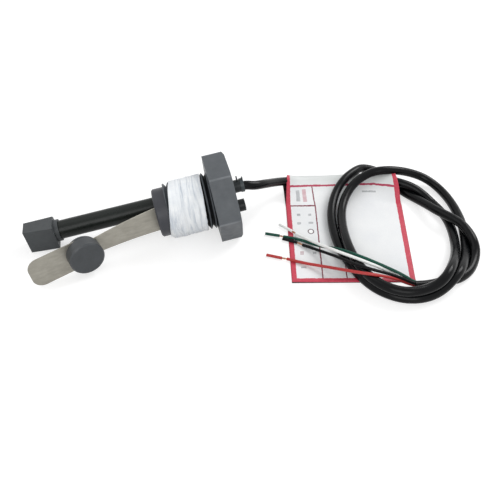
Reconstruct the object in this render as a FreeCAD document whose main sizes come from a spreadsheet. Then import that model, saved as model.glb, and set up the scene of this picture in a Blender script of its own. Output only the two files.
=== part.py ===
import FreeCAD, Part
import math
import os
import Sketcher
from FreeCAD import Placement, Rotation, Vector

# Paddle flow switch with a 1/2 inch pipe thread, lying on a table beside its loosely coiled cable.
#
# The switch is drawn along its own axis: X runs along the plug, 0 at the inner face of the hexagon
# and positive towards the cable, Y points away from the paddle, Z is up.  One pose then lays it on
# the table, resting on the edge of the hexagon and on the end of the stop block.  The cable, its
# wires and its tag are drawn where they lie.  All sizes are in millimetres and degrees.

SIZES = [
    ("hex_flats", 28.6, "hexagon across flats"),
    ("head_len", 8.2, "thickness of the hexagon"),
    ("chamfer_step", 1.1, "chamfer's circle on the outer face inside the corners"),
    ("chamfer_angle", 30, "slope of that chamfer"),
    ("thread_dia", 21.3, "major diameter of the thread at the hexagon"),
    ("thread_len", 16.6, "length of the thread"),
    ("thread_taper", 16, "length over which the diameter grows by one"),
    ("nose_step", 1.13, "plain nose below the crest of the first thread"),
    ("nose_len", 4.4, "length of the nose"),
    ("nose_bevel", 0.5, "bevel on the edge of the nose"),
    ("tape_start", 3.9, "bare thread between the hexagon and the tape"),
    ("tape_width", 12.1, "width of the wound tape"),
    ("tape_thick", 0.25, "thickness of the wound tape"),
    ("stem_edge", 0.45, "face of the nose left outside the stem"),
    ("stem_dia", 7.0, "outside of the stem tube"),
    ("stem_wall", 0.8, "wall of the stem tube"),
    ("stem_seat", 14.0, "depth of the stem in the plug"),
    ("stem_free", 37.8, "stem between the nose and the block"),
    ("block_len", 10.7, "stop block along the stem"),
    ("block_high", 9.5, "stop block across the blade"),
    ("block_front", 1.15, "stop block in front of the stem where it enters"),
    ("block_back", 0.45, "stop block behind the stem"),
    ("block_slope", 8.0, "slope of the block's front, on which the paddle comes to lie"),
    ("block_bevel", 1.2, "bevel on the back edges of the block"),
    ("block_seat", 5.0, "depth of the stem in the block"),
    ("collar_wall", 0.6, "round collar where the stem enters the block"),
    ("collar_len", 1.6, "length of that collar"),
    ("board_margin", 2.0, "reed board past the leads of the reed"),
    ("board_play", 0.075, "long edges of the board clear of the tube"),
    ("board_thick", 0.6, "thickness of the reed board"),
    ("board_back", 0.7, "front of the board behind the stem axis"),
    ("reed_dia", 2.0, "glass of the reed switch"),
    ("reed_len", 12.0, "length of the glass"),
    ("reed_front", 0.45, "reed axis in front of the stem axis"),
    ("lead_wide", 0.5, "width and thickness of the reed's flat leads"),
    ("lead_len", 3.2, "reach of a lead past the glass"),
    ("core_dia", 1.1, "insulated core of the cable"),
    ("cable_dia", 3.5, "outside of the cable"),
    ("gland_seat", 4.0, "depth of the gland in the head"),
    ("spigot_wall", 0.65, "spigot of the gland round the cable"),
    ("flange_wall", 1.1, "flange of the gland round the cable"),
    ("flange_len", 1.3, "thickness of the flange"),
    ("barrel_wall", 0.7, "barrel of the gland round the cable"),
    ("barrel_len", 2.4, "length of the barrel"),
    ("cap_wall", 0.95, "cap of the gland round the cable"),
    ("cap_len", 1.3, "length of the cap"),
    ("tab_thick", 0.45, "locking tabs of the gland"),
    ("tab_high", 1.9, "height of the barrel's tab"),
    ("nub_high", 0.8, "height of the cap's tab"),
    ("tab_wide", 1.0, "width of both tabs"),
    ("screw_offset", 7.5, "filler screw in front of the plug axis"),
    ("screw_head", 4.5, "head of the filler screw"),
    ("screw_head_len", 2.5, "height of that head"),
    ("screw_dia", 2.5, "shank of the filler screw"),
    ("screw_len", 5.0, "reach of the shank under its washer"),
    ("screw_key", 2.0, "hexagon socket across flats"),
    ("screw_key_deep", 1.2, "depth of that socket"),
    ("washer_thick", 0.4, "sealing washer under the head"),
    ("leaf_offset", 3.9, "leaf in front of the plug axis at the nose"),
    ("leaf_angle", 9.8, "slope of the leaf where it leaves the nose"),
    ("leaf_radius", 137, "curve of the free leaf"),
    ("blade_angle", 19.0, "slope of the straight end and the paddle"),
    ("leaf_thick", 0.3, "thickness of the spring leaf"),
    ("leaf_root", 10.5, "width of the leaf at the nose"),
    ("leaf_end", 5.1, "width of the leaf at its end"),
    ("leaf_tang", 6.0, "length of the leaf inside the nose"),
    ("leaf_straight", 7.0, "end of the leaf's curve to the middle of the capsule"),
    ("blade_lift", 0.35, "middle of the blade above the plug axis"),
    ("leaf_past", 0.35, "leaf past the farther pin"),
    ("paddle_thick", 0.4, "thickness of the paddle"),
    ("paddle_wide", 11.6, "width of the paddle"),
    ("paddle_len", 19.5, "middle of the capsule to the tip of the paddle"),
    ("paddle_round", 4.0, "round corners of the tip"),
    ("cup_wall", 2.0, "wall of the capsule round the magnet"),
    ("cup_deep", 4.7, "depth of the capsule in front of the paddle"),
    ("cup_bevel", 0.5, "bevel round the capsule's front face"),
    ("magnet_dia", 8.4, "disc magnet"),
    ("magnet_thick", 3.0, "thickness of the magnet"),
    ("back_step", 0.4, "edge of the backing disc inside the capsule's"),
    ("back_thick", 0.8, "thickness of that disc"),
    ("pin_dia", 1.0, "pins of the capsule"),
    ("pin_room", 0.25, "pins clear of the magnet"),
    ("pin_deep", 2.2, "depth of the pins in the capsule"),
    ("seal_blind", 6.0, "depth of the cores in the potting"),
    ("bare_dia", 0.6, "bare strands of a core"),
    ("tag_long", 46.0, "tag along its fold"),
    ("tag_front", 42.5, "front edge of the tag"),
    ("tag_skew", 2.0, "front edge of the tag beyond its fold at the left"),
    ("tag_deep", 58.0, "tag from its fold to its front edge"),
    ("tag_thick", 0.25, "both layers of the tag"),
    ("tag_room", 0.55, "room between the cable and the fold"),
    ("tag_open", 4.0, "left end of the tag that stands clear of the cable"),
    ("coil_long", 84.4, "outline of the coil the long way"),
    ("coil_wide", 57.4, "outline of the coil the short way"),
    ("coil_gap_long", 60.0, "open middle of the coil the long way"),
    ("coil_gap_wide", 37.0, "open middle of the coil the short way"),
    ("coil_turn", 75.0, "long way of the coil against X"),
    ("coil_high", 10.5, "height of the coil over the folded tag"),
    ("coil_low", 3.9, "height of the coil at its front"),
    ("coil_slope", 11.0, "slope of the coil up to the folded tag"),
    ("coil_lift", 0.4, "underside of the coil above the table"),
    ("fit", 0.05, "clearance round bonded and pressed pieces"),
]

SHEET = "Sizes"
HALF = "half a circle"
doc = FreeCAD.newDocument("FlowSwitch")


class Size:
    """A size of the sheet or a formula of such sizes: its value, and the text that binds a feature."""

    def __init__(self, value, text):
        self.value = value
        self.text = text

    def __add__(self, other):
        other = as_size(other)
        return Size(self.value + other.value, f"({self.text} + {other.text})")

    def __sub__(self, other):
        other = as_size(other)
        return Size(self.value - other.value, f"({self.text} - {other.text})")

    def __mul__(self, other):
        other = as_size(other)
        return Size(self.value * other.value, f"({self.text} * {other.text})")

    def __truediv__(self, other):
        other = as_size(other)
        return Size(self.value / other.value, f"({self.text} / {other.text})")

    def __neg__(self):
        return as_size(0) - self

    def __rsub__(self, other):
        return as_size(other) - self

    __radd__ = __add__
    __rmul__ = __mul__


def as_size(number):
    return number if isinstance(number, Size) else Size(float(number), repr(float(number)))


def sine(angle):
    return Size(math.sin(math.radians(angle.value)), f"sin({angle.text})")


def cosine(angle):
    return Size(math.cos(math.radians(angle.value)), f"cos({angle.text})")


def root(size):
    return Size(math.sqrt(size.value), f"sqrt({size.text})")


def make_sheet():
    """The spreadsheet of driving sizes, and each of them by its name."""
    sheet = doc.addObject("Spreadsheet::Sheet", SHEET)
    named = {}
    for row, (alias, value, meaning) in enumerate(SIZES, start=1):
        sheet.set(f"A{row}", str(value))
        sheet.setAlias(f"A{row}", alias)
        sheet.set(f"B{row}", meaning)
        named[alias] = Size(float(value), f"{SHEET}.{alias}")
    doc.recompute()
    return sheet, named


sheet, d = make_sheet()


def thread_radius(depth):
    """Crest of the tapered thread at a depth from the hexagon."""
    return (d["thread_dia"] - depth / d["thread_taper"]) / 2


# Lengths that several pieces share
hex_corner = d["hex_flats"] / math.sqrt(3)
nose_r = thread_radius(d["thread_len"]) - d["nose_step"]
nose_x = -(d["thread_len"] + d["nose_len"])
stem_r = d["stem_dia"] / 2
stem_y = nose_r - d["nose_bevel"] - d["stem_edge"] - stem_r
stem_hole = stem_r + d["fit"]
bore_r = stem_r - d["stem_wall"]
block_x = nose_x - d["stem_free"]
block_end = block_x - d["block_len"]
cable_r = d["cable_dia"] / 2
cable_hole = cable_r + d["fit"]
gland_x = d["head_len"]
gland_end = gland_x + d["flange_len"] + d["barrel_len"] + d["cap_len"]
cup_r = d["magnet_dia"] / 2 + d["cup_wall"]
pin_x = d["magnet_dia"] / 2 + d["pin_room"] + d["pin_dia"] / 2
leaf_tip = pin_x + d["pin_dia"] / 2 + d["leaf_past"]
fold_r = cable_r + d["tag_room"]
fold_high = fold_r + d["tag_thick"] * 1.4
lead_end = d["tag_long"] + 1

# The blade's frame: its origin is on the middle of the leaf behind the capsule, X runs to the tip,
# Y points to the capsule.  The leaf's curve ends at bend_x and starts at root_x, root_y at the nose.
bend = d["blade_angle"] - d["leaf_angle"]
bend_x = -d["leaf_straight"]
root_x = bend_x - d["leaf_radius"] * sine(bend)
root_y = d["leaf_radius"] * (1 - cosine(bend))
blade_x = nose_x + cosine(d["blade_angle"]) * root_x - sine(d["blade_angle"]) * root_y
blade_y = sine(d["blade_angle"]) * root_x + cosine(d["blade_angle"]) * root_y - d["leaf_offset"]

# The switch rests on the hexagon's inner edge and on the far edge of the stop block
drop = (d["hex_flats"] - d["block_high"]) / 2
lean = Size(
    math.degrees(math.atan(-drop.value / block_end.value)),
    f"atan({(drop / (-block_end)).text})",
)
rest_height = d["hex_flats"] / 2 * cosine(lean)


def pose_text(x, y, z, axis, angle):
    return f"placement(vector({x.text}; {y.text}; {z.text}); rotation(vector({axis}); {angle.text}))"


def bound_pose(body, on_blade):
    """Lays a piece of the switch on the table, or first onto the sloping blade."""
    lying = pose_text(rest_x, rest_y, rest_height, "0; -1; 0", lean)
    turn = d["blade_angle"] + 180
    blade = pose_text(blade_x, blade_y, d["blade_lift"], "0; 0; 1", turn)
    body.setExpression("Placement", f"{lying} * {blade}" if on_blade else lying)


def switch_piece(label, on_blade=False):
    body = doc.addObject("PartDesign::Body", label)
    body.Label = label
    pieces.append((body, on_blade))
    return body


def sketch_on(body, name, role, offset=None):
    sketch = body.newObject("Sketcher::SketchObject", f"{body.Label}_{name}")
    plane = next(f for f in body.Origin.OriginFeatures if f.Role == role)
    sketch.AttachmentSupport = [(plane, "")]
    sketch.MapMode = "FlatFace"
    if offset is not None:
        sketch.AttachmentOffset = Placement(Vector(0, 0, offset.value), Rotation())
        sketch.setExpression("AttachmentOffset.Base.z", offset.text)
    return sketch


def pin_point(sketch, geometry, point, across, up):
    """Binds a sketch point to its two sizes, on an axis where one of them is nothing."""
    for kind, place, axis in (("DistanceX", across, -2), ("DistanceY", up, -1)):
        if place.value == 0:
            sketch.addConstraint(Sketcher.Constraint("PointOnObject", geometry, point, axis))
        else:
            number = sketch.addConstraint(
                Sketcher.Constraint(kind, -1, 1, geometry, point, place.value)
            )
            sketch.setExpression(f"Constraints[{number}]", place.text)


def outline(sketch, corners, radii=None):
    """A closed outline through its corners; radii gives, by number, the sides that are arcs.

    A positive radius bulges to the left of the side's direction, a negative one to the right, and
    HALF is half a circle to the right, on a side that lies on the upright axis.
    """
    radii = radii or {}
    corners = [(as_size(a), as_size(b)) for a, b in corners]
    first = sketch.GeometryCount
    count = len(corners)
    for i in range(count):
        start = Vector(corners[i][0].value, corners[i][1].value, 0)
        end = Vector(corners[(i + 1) % count][0].value, corners[(i + 1) % count][1].value, 0)
        if i in radii:
            sketch.addGeometry(shallow_arc(start, end, radii[i]))
        else:
            sketch.addGeometry(Part.LineSegment(start, end))
    for i in range(count):
        after = corners[(i + 1) % count]
        leftward = i in radii and radii[i] is not HALF and radii[i].value > 0
        starts = 2 if leftward else 1
        pin_point(sketch, first + i, starts, *corners[i])
        if i in radii:
            pin_point(sketch, first + i, 3 - starts, *after)
            pin_arc(sketch, first + i, radii[i])
        elif (i + 1) % count in radii:
            pin_point(sketch, first + i, 2, *after)
        else:
            sketch.addConstraint(
                Sketcher.Constraint("Coincident", first + i, 2, first + (i + 1) % count, 1)
            )


def pin_arc(sketch, geometry, radius):
    if radius is HALF:
        sketch.addConstraint(Sketcher.Constraint("PointOnObject", geometry, 3, -2))
        return
    size = radius if radius.value > 0 else -radius
    number = sketch.addConstraint(Sketcher.Constraint("Radius", geometry, size.value))
    sketch.setExpression(f"Constraints[{number}]", size.text)


def shallow_arc(start, end, radius):
    """An arc of at most half a turn; it bulges left of its direction where the radius is positive."""
    chord = end - start
    half = chord.Length / 2
    left = Vector(-chord.y, chord.x, 0).normalize()
    size = half if radius is HALF else abs(radius.value)
    rise = size - math.sqrt(max(size * size - half * half, 0.0))
    side = -1 if radius is HALF or radius.value < 0 else 1
    return Part.Arc(start, start + chord * 0.5 + left * (side * rise), end)


def circle(sketch, across, up, radius):
    across, up = as_size(across), as_size(up)
    middle = Vector(across.value, up.value, 0)
    number = sketch.addGeometry(Part.Circle(middle, Vector(0, 0, 1), radius.value))
    pin_point(sketch, number, 3, across, up)
    bound = sketch.addConstraint(Sketcher.Constraint("Radius", number, radius.value))
    sketch.setExpression(f"Constraints[{bound}]", radius.text)


def pad(body, sketch, length, middle=False, back=False):
    feature = body.newObject("PartDesign::Pad", f"{sketch.Name}_pad")
    return extrude(feature, sketch, length, middle, back)


def pocket(body, sketch, length, middle=False, back=False):
    """Cuts a sketch into its body, and stops if that takes nothing away."""
    doc.recompute()
    before = body.Shape.Volume
    feature = body.newObject("PartDesign::Pocket", f"{sketch.Name}_pocket")
    extrude(feature, sketch, length, middle, back)
    doc.recompute()
    if not body.Shape.Volume < before:
        raise RuntimeError(f"{sketch.Name} cuts nothing")
    return feature


def extrude(feature, sketch, length, middle, back):
    length = as_size(length)
    feature.Profile = sketch
    feature.SideType = "Symmetric" if middle else "One side"
    feature.Reversed = back
    feature.Length = length.value
    feature.setExpression("Length", length.text)
    sketch.Visibility = False
    return feature


def revolve(body, sketch, axis, kind="PartDesign::Revolution"):
    feature = body.newObject(kind, f"{sketch.Name}_turn")
    feature.Profile = sketch
    feature.ReferenceAxis = (sketch, [axis])
    feature.Angle = 360
    return feature


def round_bar(body, name, start, length, radius, hole=None, across=0, up=0):
    """A bar or tube along X from start."""
    sketch = sketch_on(body, name, "YZ_Plane", as_size(start))
    circle(sketch, across, up, radius)
    if hole is not None:
        circle(sketch, across, up, hole)
    return pad(body, sketch, length)


def round_hole(body, name, start, length, radius, across=0, up=0, towards_cable=True):
    sketch = sketch_on(body, name, "YZ_Plane", as_size(start))
    circle(sketch, across, up, radius)
    return pocket(body, sketch, length, back=towards_cable)


def hexagon(sketch, across, flats):
    corner = flats / math.sqrt(3)
    half = flats / 2
    outline(
        sketch,
        [
            (across + corner, 0),
            (across + corner / 2, half),
            (across - corner / 2, half),
            (across - corner, 0),
            (across - corner / 2, -half),
            (across + corner / 2, -half),
        ],
    )


def make_plug():
    """Hexagon, tapered thread and nose in one piece, bored for the stem, the gland and the blade."""
    body = switch_piece("plug_body")
    head = sketch_on(body, "hexagon", "YZ_Plane")
    hexagon(head, as_size(0), d["hex_flats"])
    pad(body, head, d["head_len"])

    corner = sketch_on(body, "chamfer", "XY_Plane")
    over = hex_corner + 1
    inner = hex_corner - d["chamfer_step"]
    rise = (over - inner) * sine(d["chamfer_angle"]) / cosine(d["chamfer_angle"])
    outline(corner, [(d["head_len"], inner), (d["head_len"], over), (d["head_len"] - rise, over)])
    revolve(body, corner, "H_Axis", "PartDesign::Groove")

    shank = sketch_on(body, "shank", "XY_Plane")
    outline(
        shank,
        [
            (0, 0),
            (0, d["thread_dia"] / 2),
            (-d["thread_len"], thread_radius(d["thread_len"])),
            (-d["thread_len"], nose_r),
            (nose_x + d["nose_bevel"], nose_r),
            (nose_x, nose_r - d["nose_bevel"]),
            (nose_x, 0),
        ],
    )
    revolve(body, shank, "H_Axis")

    seat_end = nose_x + d["stem_seat"]
    gland_hole = cable_r + d["spigot_wall"] + d["fit"]
    round_hole(body, "stem_bore", nose_x, d["stem_seat"], stem_hole, stem_y)
    wire_len = d["head_len"] - d["gland_seat"] - seat_end
    round_hole(body, "wire_bore", seat_end, wire_len, bore_r, stem_y)
    gland_start = d["head_len"] - d["gland_seat"]
    round_hole(body, "gland_bore", gland_start, d["gland_seat"], gland_hole, stem_y)
    screw_start = d["head_len"] - d["screw_len"]
    screw_hole = d["screw_dia"] / 2 + d["fit"]
    round_hole(body, "screw_bore", screw_start, d["screw_len"], screw_hole, -d["screw_offset"])

    slot = sketch_on(body, "slot", "XY_Plane", d["blade_lift"])
    half = d["leaf_thick"] / 2 + d["fit"]
    along_x, along_y = cosine(d["leaf_angle"]), sine(d["leaf_angle"])
    deep = d["leaf_tang"] + d["fit"]
    corners = []
    for reach, side in ((-1, -1), (deep, -1), (deep, 1), (-1, 1)):
        x = nose_x + along_x * reach - along_y * half * side
        y = along_y * reach + along_x * half * side - d["leaf_offset"]
        corners.append((x, y))
    outline(slot, corners)
    pocket(body, slot, d["leaf_root"] + d["fit"] * 2, middle=True)


def make_tape():
    """Sealing tape wound on the thread."""
    body = switch_piece("thread_tape")
    sketch = sketch_on(body, "section", "XY_Plane")
    start = d["tape_start"]
    end = start + d["tape_width"]
    corners = []
    for depth, lift in ((start, 0), (end, 0), (end, d["tape_thick"]), (start, d["tape_thick"])):
        corners.append((-depth, thread_radius(depth) + lift))
    outline(sketch, corners)
    revolve(body, sketch, "H_Axis")


def make_stem():
    """Tube that carries the reed switch, and the block that closes it and stops the paddle."""
    tube = switch_piece("stem_tube")
    start = block_x - d["block_seat"]
    length = nose_x + d["stem_seat"] - start
    round_bar(tube, "tube", start, length, stem_r, bore_r, stem_y)

    block = switch_piece("stop_block")
    section = sketch_on(block, "section", "YZ_Plane", block_end)
    high = d["block_high"] / 2
    front = stem_y - stem_r - d["block_front"]
    back = stem_y + stem_r + d["block_back"]
    bevel = d["block_bevel"]
    outline(
        section,
        [
            (front, -high),
            (back - bevel, -high),
            (back, bevel - high),
            (back, high - bevel),
            (back - bevel, high),
            (front, high),
        ],
    )
    pad(block, section, d["block_len"])
    stop = sketch_on(block, "stop", "XY_Plane")
    rise = d["block_len"] * sine(d["block_slope"]) / cosine(d["block_slope"])
    outline(stop, [(block_x, front), (block_end, front), (block_end, front + rise)])
    pocket(block, stop, d["block_high"] + 1, middle=True)
    collar_r = stem_r + d["collar_wall"]
    round_bar(block, "collar", block_x, d["collar_len"], collar_r, across=stem_y)
    deep = d["block_seat"] + d["collar_len"]
    round_hole(block, "seat", block_x - d["block_seat"], deep, stem_hole, stem_y)


def make_reed():
    """Reed switch on its board in the stem, level with the magnet, and the cores that lead away."""
    board = switch_piece("reed_board")
    board_len = d["reed_len"] + (d["lead_len"] + d["board_margin"]) * 2
    board_start = blade_x - board_len / 2
    section = sketch_on(board, "section", "YZ_Plane", board_start)
    front = stem_y + d["board_back"]
    deep = d["board_back"] + d["board_thick"]
    back = stem_y + deep
    high = root(bore_r * bore_r - deep * deep) - d["board_play"]
    outline(section, [(front, -high), (back, -high), (back, high), (front, high)])
    pad(board, section, board_len)

    glass = switch_piece("reed_switch")
    reed_y = stem_y - d["reed_front"]
    reed_start = blade_x - d["reed_len"] / 2
    round_bar(glass, "glass", reed_start, d["reed_len"], d["reed_dia"] / 2, across=reed_y)

    leads = switch_piece("reed_leads")
    thick = d["lead_wide"] / 2
    for name, side in (("near", 1), ("far", -1)):
        sketch = sketch_on(leads, name, "XY_Plane")
        inner = blade_x + d["reed_len"] / 2 * side
        outer = inner + d["lead_len"] * side
        outline(
            sketch,
            [
                (inner, reed_y - thick),
                (outer, reed_y - thick),
                (outer, front),
                (outer - d["lead_wide"] * side, front),
                (outer - d["lead_wide"] * side, reed_y + thick),
                (inner, reed_y + thick),
            ],
        )
        pad(leads, sketch, d["lead_wide"], middle=True)

    cores = switch_piece("inner_cores")
    cores_start = board_start + board_len
    sketch = sketch_on(cores, "cores", "YZ_Plane", cores_start)
    for across, up in four_cores():
        circle(sketch, across, up, d["core_dia"] / 2)
    seal_start = nose_x + d["stem_seat"]
    pad(cores, sketch, seal_start + d["seal_blind"] - cores_start)

    seal = switch_piece("potting_seal")
    seal_len = d["head_len"] - d["gland_seat"] - seal_start
    round_bar(seal, "potting", seal_start, seal_len, bore_r, across=stem_y)
    holes = sketch_on(seal, "holes", "YZ_Plane", seal_start)
    for across, up in four_cores():
        circle(holes, across, up, d["core_dia"] / 2)
    pocket(seal, holes, d["seal_blind"], back=True)


def four_cores():
    half = d["core_dia"] / 2 + d["fit"]
    return [(stem_y + half * a, half * b) for a in (-1, 1) for b in (-1, 1)]


def make_gland():
    """Cable gland on the outer face, in line with the stem, and its cap."""
    body = switch_piece("gland_body")
    axis = stem_y
    start = gland_x - d["gland_seat"]
    barrel_x = gland_x + d["flange_len"]
    cap_x = barrel_x + d["barrel_len"]
    barrel_r = cable_r + d["barrel_wall"]
    round_bar(body, "spigot", start, d["gland_seat"], cable_r + d["spigot_wall"], across=axis)
    round_bar(body, "flange", gland_x, d["flange_len"], cable_r + d["flange_wall"], across=axis)
    round_bar(body, "barrel", barrel_x, d["barrel_len"], barrel_r, across=axis)
    tab_x = barrel_x + d["barrel_len"] / 2
    locking_tab(body, "tab", tab_x, barrel_r, d["tab_high"])
    round_hole(body, "bore", start, cap_x - start, cable_hole, axis)

    cap = switch_piece("gland_cap")
    cap_r = cable_r + d["cap_wall"]
    round_bar(cap, "cap", cap_x, d["cap_len"], cap_r, across=axis)
    locking_tab(cap, "nub", gland_end - d["tab_thick"], cap_r, d["nub_high"])
    round_hole(cap, "bore", cap_x, d["cap_len"], cable_hole, axis)


def locking_tab(body, name, start, radius, height):
    sketch = sketch_on(body, name, "YZ_Plane", start)
    half = d["tab_wide"] / 2
    left, right = stem_y - half, stem_y + half
    top = radius + height
    outline(sketch, [(left, radius / 2), (right, radius / 2), (right, top), (left, top)])
    pad(body, sketch, d["tab_thick"])


def make_screw():
    """Socket screw that closes the filling hole of the head, on a sealing washer."""
    axis = -d["screw_offset"]
    washer = switch_piece("screw_washer")
    hole = d["screw_dia"] / 2 + d["fit"]
    round_bar(washer, "ring", gland_x, d["washer_thick"], d["screw_head"] / 2, hole, axis)

    screw = switch_piece("filler_screw")
    head_x = gland_x + d["washer_thick"]
    shank_x = gland_x - d["screw_len"]
    round_bar(screw, "shank", shank_x, head_x - shank_x, d["screw_dia"] / 2, across=axis)
    round_bar(screw, "head", head_x, d["screw_head_len"], d["screw_head"] / 2, across=axis)
    key = sketch_on(screw, "key", "YZ_Plane", head_x + d["screw_head_len"])
    hexagon(key, axis, d["screw_key"])
    pocket(screw, key, d["screw_key_deep"])


def make_leaf():
    """Tapered spring leaf: a tang in the nose, a free curve, and a straight end under the capsule."""
    body = switch_piece("spring_leaf", on_blade=True)
    half = d["leaf_thick"] / 2
    radius = d["leaf_radius"]
    across_x, across_y = sine(bend), cosine(bend)
    tang_x = root_x - d["leaf_tang"] * across_y
    tang_y = root_y + d["leaf_tang"] * across_x
    band = sketch_on(body, "band", "XY_Plane")
    outline(
        band,
        [
            (leaf_tip, -half),
            (leaf_tip, half),
            (bend_x, half),
            (root_x + half * across_x, root_y + half * across_y),
            (tang_x + half * across_x, tang_y + half * across_y),
            (tang_x - half * across_x, tang_y - half * across_y),
            (root_x - half * across_x, root_y - half * across_y),
            (bend_x, -half),
        ],
        radii={2: radius - half, 6: -(radius + half)},
    )
    pad(body, band, d["leaf_root"], middle=True)

    taper = sketch_on(body, "taper", "XZ_Plane")
    past = leaf_tip + 1
    for side in (1, -1):
        wide = d["leaf_root"] / 2 * side
        narrow = d["leaf_end"] / 2 * side
        outline(taper, [(root_x, wide), (leaf_tip, narrow), (past, narrow), (past, wide + side)])
    pocket(body, taper, as_size(30), middle=True)
    pin_holes(body, "pins", as_size(10), middle=True)


def pin_holes(body, name, length, middle=False):
    sketch = sketch_on(body, name, "XZ_Plane")
    for side in (1, -1):
        circle(sketch, pin_x * side, 0, d["pin_dia"] / 2 + d["fit"])
    pocket(body, sketch, length, middle=middle)


def make_paddle():
    """Flat paddle with a rounded tip, fixed on the leaf under the capsule."""
    body = switch_piece("paddle", on_blade=True)
    front = d["leaf_thick"] / 2
    half = d["paddle_wide"] / 2
    tip = d["paddle_len"]
    corner = d["paddle_round"]
    shape = sketch_on(body, "shape", "XZ_Plane", -front)
    outline(
        shape,
        [
            (0, -half),
            (tip - corner, -half),
            (tip, corner - half),
            (tip, half - corner),
            (tip - corner, half),
            (0, half),
        ],
        radii={1: -corner, 3: -corner, 5: HALF},
    )
    pad(body, shape, d["paddle_thick"], back=True)
    pin_holes(body, "pins", as_size(10), middle=True)


def make_capsule():
    """Magnet capsule: a cup on the paddle, the magnet in it, a backing disc and two pins."""
    seat = d["leaf_thick"] / 2 + d["paddle_thick"]
    rear = d["leaf_thick"] / 2
    cup = switch_piece("magnet_cup", on_blade=True)
    front = seat + d["cup_deep"]
    bevel = d["cup_bevel"]
    room_r = d["magnet_dia"] / 2 + d["fit"]
    room_end = seat + d["magnet_thick"] + d["fit"]
    section = sketch_on(cup, "section", "XY_Plane")
    outline(
        section,
        [
            (room_r, seat),
            (cup_r, seat),
            (cup_r, front - bevel),
            (cup_r - bevel, front),
            (0, front),
            (0, room_end),
            (room_r, room_end),
        ],
    )
    revolve(cup, section, "V_Axis")
    pin_holes(cup, "pins", seat + d["pin_deep"])

    magnet = switch_piece("magnet", on_blade=True)
    disc = sketch_on(magnet, "disc", "XZ_Plane", -seat)
    circle(disc, 0, 0, d["magnet_dia"] / 2)
    pad(magnet, disc, d["magnet_thick"], back=True)

    plate = switch_piece("capsule_back", on_blade=True)
    disc = sketch_on(plate, "disc", "XZ_Plane", rear)
    circle(disc, 0, 0, cup_r - d["back_step"])
    pad(plate, disc, d["back_thick"])
    pin_holes(plate, "pins", as_size(10), middle=True)

    pins = switch_piece("capsule_pins", on_blade=True)
    sketch = sketch_on(pins, "pins", "XZ_Plane", rear + d["back_thick"])
    for side in (1, -1):
        circle(sketch, pin_x * side, 0, d["pin_dia"] / 2)
    pad(pins, sketch, rear + d["back_thick"] + seat + d["pin_deep"], back=True)


pieces = []
rest_x = rest_y = as_size(0)


def make_switch():
    for make in (
        make_plug,
        make_tape,
        make_stem,
        make_reed,
        make_gland,
        make_screw,
        make_leaf,
        make_paddle,
        make_capsule,
    ):
        make()


def lay_switch():
    """Poses every piece of the switch, with the middle of its footprint at the origin."""
    global rest_x, rest_y
    for body, on_blade in pieces:
        bound_pose(body, on_blade)
    doc.recompute()
    box = FreeCAD.BoundBox()
    for body, _ in pieces:
        box.add(body.Shape.optimalBoundingBox(True, False))
    row = len(SIZES) + 1
    for alias, place in (("rest_x", -box.Center.x), ("rest_y", -box.Center.y)):
        sheet.set(f"A{row}", repr(round(place, 6)))
        sheet.setAlias(f"A{row}", alias)
        row += 1
    rest_x = Size(-box.Center.x, f"{SHEET}.rest_x")
    rest_y = Size(-box.Center.y, f"{SHEET}.rest_y")
    doc.recompute()
    for body, on_blade in pieces:
        bound_pose(body, on_blade)
    doc.recompute()


# Routes of the cable and its wires where they lie, in millimetres on the table.  The lead starts in
# the gland, drops to the table and runs through the folded tag into the coil.
LEAD_ROUTE = [
    (49.6, 6.9, 15.0),
    (54.2, 11.3, 11.2),
    (58.0, 16.0, 7.2),
    (62.6, 20.3, 4.1),
    (70.0, 21.7, 2.7),
    (79.0, 20.1, 2.4),
    (91.0, 18.2, 2.6),
    (101.0, 16.0, 2.4),
]
WIRE_ROUTES = {
    "red": [
        (89.6, -45.9, 1.6),
        (86.3, -44.5, 2.6),
        (81.7, -43.4, 4.3),
        (77.3, -42.1, 5.1),
        (72.3, -39.9, 5.1),
        (68.1, -37.4, 4.8),
        (64.8, -33.7, 3.2),
        (61.0, -29.8, 1.6),
        (56.0, -26.5, 1.0),
        (51.0, -23.0, 0.9),
    ],
    "black": [
        (89.9, -45.9, 2.9),
        (86.0, -43.9, 4.0),
        (81.5, -41.9, 4.9),
        (77.2, -39.6, 5.2),
        (72.5, -36.0, 5.2),
        (68.0, -30.4, 4.8),
        (65.3, -25.6, 3.2),
        (62.4, -20.7, 1.5),
        (58.8, -16.8, 1.0),
    ],
    "white": [
        (90.2, -44.9, 1.6),
        (86.6, -42.0, 2.3),
        (82.4, -39.5, 3.9),
        (75.6, -34.4, 5.2),
        (69.4, -28.6, 5.1),
        (66.1, -23.4, 3.9),
        (63.3, -18.8, 2.7),
        (60.8, -14.4, 1.8),
        (58.1, -10.1, 1.2),
    ],
    "green": [
        (90.4, -44.9, 2.9),
        (87.6, -42.9, 3.9),
        (84.1, -40.1, 4.9),
        (79.1, -36.2, 5.4),
        (74.4, -31.0, 5.3),
        (69.9, -26.1, 4.6),
        (67.0, -21.7, 2.3),
        (63.9, -18.4, 1.1),
        (61.1, -15.5, 0.9),
        (57.6, -12.8, 0.95),
        (53.1, -10.3, 0.8),
    ],
}
# Where each slug of insulation starts and ends, past the bare strands
SLUGS = {
    "red": ((49.4, -22.1, 0.8), (44.3, -19.0, 0.7)),
    "black": ((57.2, -15.0, 0.95), (52.5, -11.5, 0.8)),
    "white": ((57.2, -8.4, 1.1), (53.6, -2.8, 0.8)),
    "green": ((51.8, -9.5, 0.8), (46.9, -6.9, 0.7)),
}
TAG_POSE = Placement(Vector(63.5, 23.0, 0.05), Rotation(Vector(0, 0, 1), -10.6))
COIL_MIDDLE = Vector(98.3, -13.6, 0)
COIL_GAP_MIDDLE = Vector(97.0, -15.0, 0)
COIL_BEND_Y = -5.0
loose = []


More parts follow.
